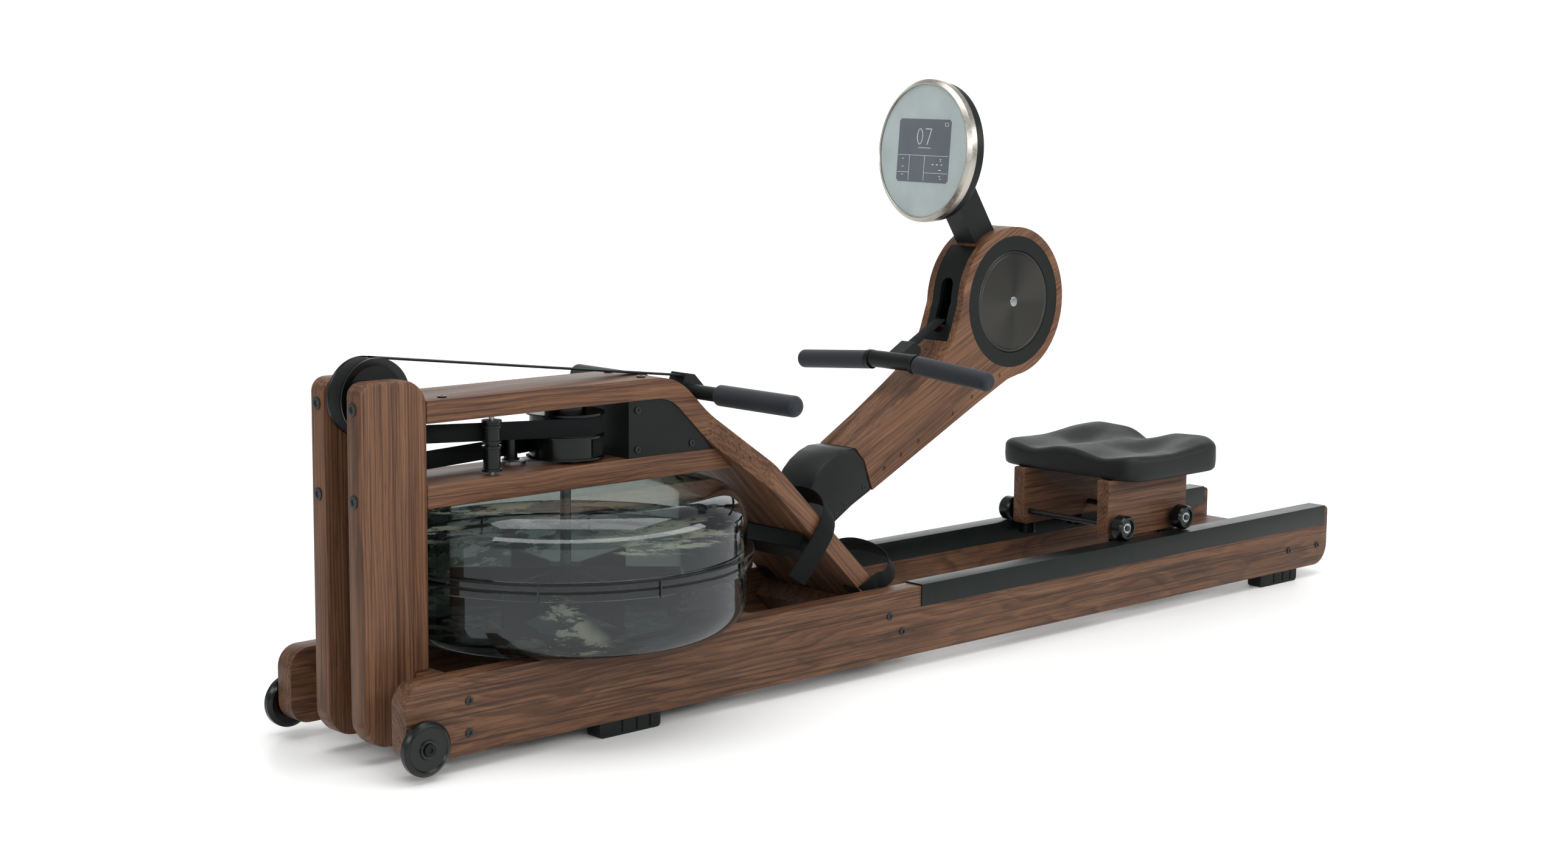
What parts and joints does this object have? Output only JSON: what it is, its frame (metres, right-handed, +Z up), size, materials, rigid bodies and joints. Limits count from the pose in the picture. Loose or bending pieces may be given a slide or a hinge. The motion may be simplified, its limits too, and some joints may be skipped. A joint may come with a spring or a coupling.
{
  "type": "rowing_machine",
  "caption": "Wooden water rower: two long rails, a round smoked water tank under a bent deck and footboard, rolling seat, strap handle, and a leaning arm with a second handle and round monitor",
  "frame": {"origin": "centre of the bounding box on the floor plane", "axes": "+X along the machine from the tank to the seat end, +Y across it to the seated rower's right, +Z up"},
  "size_m": [2.114, 0.546, 0.9263],
  "materials": {
    "rail_wood": "satin oiled walnut, grain along the rail",
    "post_wood": "satin oiled walnut, upright grain",
    "deck_wood": "satin oiled walnut, grain down the slope",
    "arm_wood": "satin oiled walnut",
    "cap_metal": "fine matte black powder coat",
    "black_metal": "matte black powder coat",
    "black_cover": "fine-grained black moulding",
    "wheel_black": "smooth black moulding",
    "paddle_black": "smooth black moulding",
    "foot_rubber": "matte black rubber",
    "seal_rubber": "matte black rubber",
    "grip_rubber": "matte blue-black foam rubber",
    "screw_steel": "black oxide",
    "axle_steel": "fine brushed",
    "tank_clear": "smoked clear, glossy",
    "water_clear": "clear water",
    "webbing": "close woven flat webbing",
    "spun_metal": "dark spun finish",
    "rim_nickel": "brushed nickel",
    "screen_glass": "pale grey-green cover glass",
    "seat_leather": "soft black fine-grained vinyl"
  },
  "bodies": {
    "frame": {"rail_left": "rail_wood", "rail_right": "rail_wood", "rail_caps": "cap_metal", "cross_boards": "rail_wood", "post_left": "post_wood", "post_right": "post_wood", "deck_footboard": "deck_wood", "mid_deck": "deck_wood", "drive_cover": "black_cover", "feet": "foot_rubber", "frame_screws": "screw_steel", "tank_lower": "tank_clear", "tank_upper": "tank_clear", "tank_seal": "seal_rubber", "water": "water_clear", "pulley_axles": "axle_steel", "drive_strap": "webbing", "recoil_strap": "webbing", "foot_straps": "webbing", "strap_bar": "black_cover", "arm_housing": "black_cover", "arm_cheek_left": "arm_wood", "arm_cheek_right": "arm_wood", "arm_panels": "arm_wood", "head_band": "arm_wood", "head_front_cover": "black_cover", "head_side_rings": "black_cover", "head_side_discs": "spun_metal", "stem": "black_metal", "handle_strap": "webbing", "arm_strap": "webbing"},
    "handle": {"handle_bar": "black_metal", "handle_grips": "grip_rubber"},
    "front_pulley": {"top_pulley": "wheel_black"},
    "drum": {"drive_drums": "wheel_black"},
    "idler": {"strap_idler": "wheel_black"},
    "guide_roller_body": {"guide_roller": "wheel_black"},
    "return_pulley": {"recoil_pulley": "wheel_black"},
    "paddle_wheel": {"impeller": "paddle_black", "drive_shaft": "axle_steel"},
    "arm_handle": {"arm_handle_bar": "black_metal", "arm_handle_grips": "grip_rubber"},
    "arm_reel": {"reel": "paddle_black"},
    "knuckle": {"console_knuckle": "black_metal"},
    "monitor": {"console_shell": "black_cover", "console_rim": "rim_nickel", "console_glass": "screen_glass"},
    "seat": {"seat_cushion": "seat_leather", "seat_blocks": "post_wood", "seat_axles": "axle_steel"},
    "wheel_left": {"transport_wheel_left": "wheel_black"},
    "wheel_right": {"transport_wheel_right": "wheel_black"},
    "seat_wheel_front_left_body": {"seat_wheel_front_left": "wheel_black"},
    "seat_wheel_front_right_body": {"seat_wheel_front_right": "wheel_black"},
    "seat_wheel_rear_left_body": {"seat_wheel_rear_left": "wheel_black"},
    "seat_wheel_rear_right_body": {"seat_wheel_rear_right": "wheel_black"},
    "seat_guide_front_left_body": {"seat_guide_front_left": "wheel_black"},
    "seat_guide_front_right_body": {"seat_guide_front_right": "wheel_black"},
    "seat_guide_rear_left_body": {"seat_guide_rear_left": "wheel_black"},
    "seat_guide_rear_right_body": {"seat_guide_rear_right": "wheel_black"}
  },
  "joints": [
    {"name": "handle_pull", "type": "slide", "parent": "frame", "child": "handle", "axis": [1, 0, 0], "range_m": [0, 0.4], "stiffness_N_per_m": 40, "springref_m": -0.4, "deforming": ["handle_strap"]},
    {"name": "front_pulley_spin", "type": "hinge", "parent": "frame", "child": "front_pulley", "pos_m": [-0.989, 0, 0.494], "axis": [0, 1, 0], "range_deg": [-8, 433]},
    {"name": "drum_spin", "type": "hinge", "parent": "frame", "child": "drum", "pos_m": [-0.653, 0, 0.42], "axis": [0, 0, 1], "range_deg": [-441, 8]},
    {"name": "idler_spin", "type": "hinge", "parent": "frame", "child": "idler", "pos_m": [-0.81507, -0.04108, 0.43], "axis": [0, 0, 1], "range_deg": [-8, 1758]},
    {"name": "guide_roller_spin", "type": "hinge", "parent": "frame", "child": "guide_roller_body", "pos_m": [-0.7292, 0.02999, 0.396], "axis": [0, 0, 1], "range_deg": [-2073, 8]},
    {"name": "return_pulley_spin", "type": "hinge", "parent": "frame", "child": "return_pulley", "pos_m": [-0.98, 0, 0.3714], "axis": [0, 1, 0], "range_deg": [-8, 982]},
    {"name": "paddle_spin", "type": "hinge", "parent": "frame", "child": "paddle_wheel", "pos_m": [-0.653, 0, 0.2], "axis": [0, 0, 1], "continuous": true},
    {"name": "arm_pull", "type": "slide", "parent": "frame", "child": "arm_handle", "axis": [-1, 0, 0], "range_m": [0, 0.35], "stiffness_N_per_m": 40, "springref_m": -0.4, "deforming": ["arm_strap"]},
    {"name": "reel_spin", "type": "hinge", "parent": "frame", "child": "arm_reel", "pos_m": [0.275, 0, 0.555], "axis": [0, 1, 0], "range_deg": [-338, 8]},
    {"name": "console_swivel", "type": "hinge", "parent": "frame", "child": "knuckle", "pos_m": [0.16, 0, 0.785], "axis": [0, 0, 1], "range_deg": [-35, 35]},
    {"name": "console_tilt", "type": "hinge", "parent": "knuckle", "child": "monitor", "pos_m": [0.14508, 0.00157, 0.809], "axis": [0.1045, 0.9945, 0], "range_deg": [-3, 25]},
    {"name": "seat_slide", "type": "slide", "parent": "frame", "child": "seat", "axis": [1, 0, 0], "range_m": [-0.4, 0.36]},
    {"name": "seat_wheel_front_left_roll", "type": "hinge", "parent": "seat", "child": "seat_wheel_front_left_body", "pos_m": [0.475, -0.129, 0.1554], "axis": [0, 1, 0], "range_deg": [-1074, 968]},
    {"name": "seat_wheel_front_right_roll", "type": "hinge", "parent": "seat", "child": "seat_wheel_front_right_body", "pos_m": [0.475, 0.129, 0.1554], "axis": [0, 1, 0], "range_deg": [-1074, 968]},
    {"name": "seat_wheel_rear_left_roll", "type": "hinge", "parent": "seat", "child": "seat_wheel_rear_left_body", "pos_m": [0.641, -0.129, 0.1554], "axis": [0, 1, 0], "range_deg": [-1074, 968]},
    {"name": "seat_wheel_rear_right_roll", "type": "hinge", "parent": "seat", "child": "seat_wheel_rear_right_body", "pos_m": [0.641, 0.129, 0.1554], "axis": [0, 1, 0], "range_deg": [-1074, 968]},
    {"name": "seat_guide_front_left_spin", "type": "hinge", "parent": "seat", "child": "seat_guide_front_left_body", "pos_m": [0.492, -0.104, 0.122], "axis": [0, 0, 1], "continuous": true},
    {"name": "seat_guide_front_right_spin", "type": "hinge", "parent": "seat", "child": "seat_guide_front_right_body", "pos_m": [0.492, 0.104, 0.122], "axis": [0, 0, 1], "continuous": true},
    {"name": "seat_guide_rear_left_spin", "type": "hinge", "parent": "seat", "child": "seat_guide_rear_left_body", "pos_m": [0.627, -0.104, 0.122], "axis": [0, 0, 1], "continuous": true},
    {"name": "seat_guide_rear_right_spin", "type": "hinge", "parent": "seat", "child": "seat_guide_rear_right_body", "pos_m": [0.627, 0.104, 0.122], "axis": [0, 0, 1], "continuous": true},
    {"name": "transport_wheel_left_roll", "type": "hinge", "parent": "frame", "child": "wheel_left", "pos_m": [-1.0195, -0.167, 0.046], "axis": [0, 1, 0], "continuous": true},
    {"name": "transport_wheel_right_roll", "type": "hinge", "parent": "frame", "child": "wheel_right", "pos_m": [-1.0195, 0.167, 0.046], "axis": [0, 1, 0], "continuous": true}
  ],
  "couplings": [
    {"joint": "front_pulley_spin", "follows": "handle_pull", "rad_per_m": 18.501},
    {"joint": "drum_spin", "follows": "handle_pull", "rad_per_m": -18.85},
    {"joint": "idler_spin", "follows": "handle_pull", "rad_per_m": 76.336},
    {"joint": "guide_roller_spin", "follows": "handle_pull", "rad_per_m": -90.09},
    {"joint": "return_pulley_spin", "follows": "handle_pull", "rad_per_m": 42.463},
    {"joint": "reel_spin", "follows": "arm_pull", "rad_per_m": -16.447},
    {"joint": "seat_wheel_front_left_roll", "follows": "seat_slide", "rad_per_m": 46.512},
    {"joint": "seat_wheel_front_right_roll", "follows": "seat_slide", "rad_per_m": 46.512},
    {"joint": "seat_wheel_rear_left_roll", "follows": "seat_slide", "rad_per_m": 46.512},
    {"joint": "seat_wheel_rear_right_roll", "follows": "seat_slide", "rad_per_m": 46.512}
  ]
}
